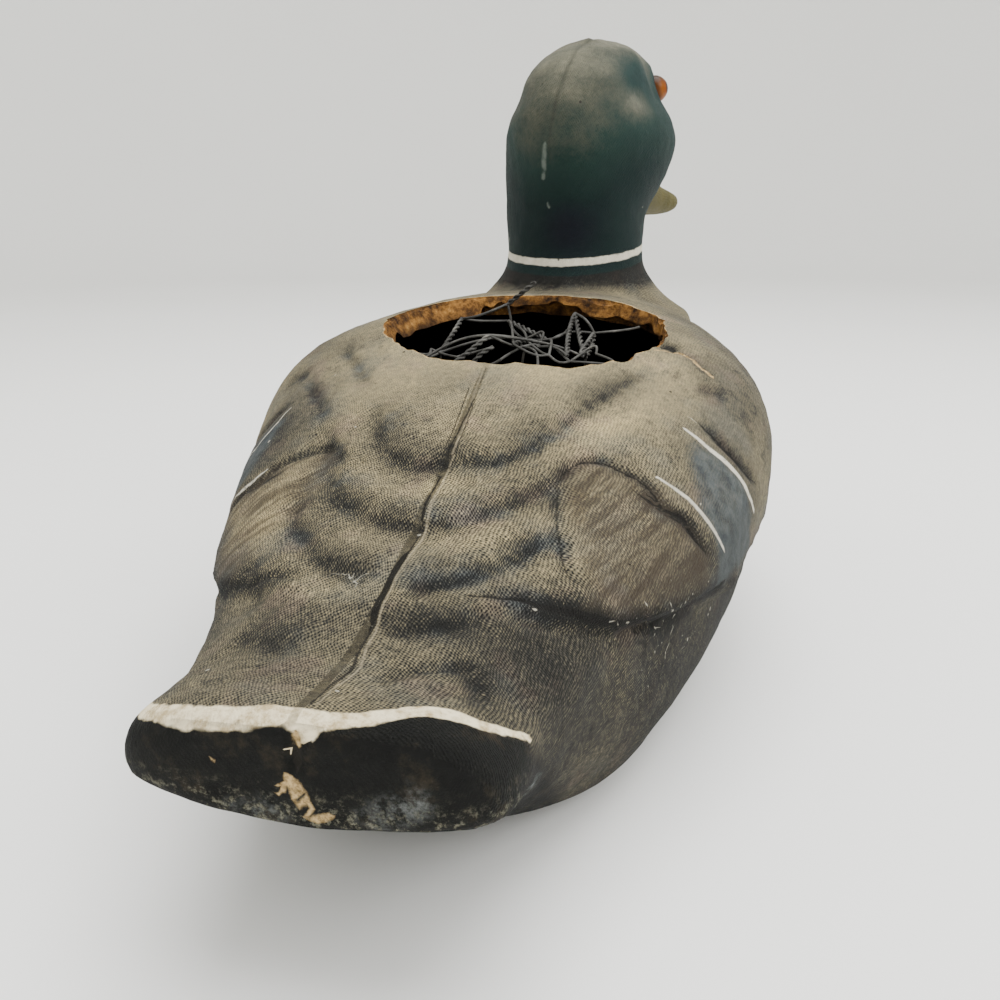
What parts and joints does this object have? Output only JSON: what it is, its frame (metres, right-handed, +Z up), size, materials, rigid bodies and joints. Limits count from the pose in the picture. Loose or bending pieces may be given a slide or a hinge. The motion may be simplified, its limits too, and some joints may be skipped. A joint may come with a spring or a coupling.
{
  "type": "duck decoy",
  "caption": "Hollow moulded-pulp mallard drake decoy with glass eyes and an oval opening cut in its back over crumpled wire netting.",
  "frame": {"origin": "centre of the bounding box at the plane of the flat underside", "axes": "+Z up, -Y the way the bill points, +X the duck's left"},
  "size_m": [0.144, 0.327, 0.18],
  "materials": {
    "painted_pulp": "old matt paint on moulded pulp, worn and faded",
    "eye_glass": "glossy amber glass with a black pupil",
    "netting_wire": "dull, weathered zinc-coated wire"
  },
  "bodies": {
    "root": {"decoy_shell": "painted_pulp", "eye_left": "eye_glass", "eye_right": "eye_glass", "wire_netting": "netting_wire"}
  },
  "joints": []
}
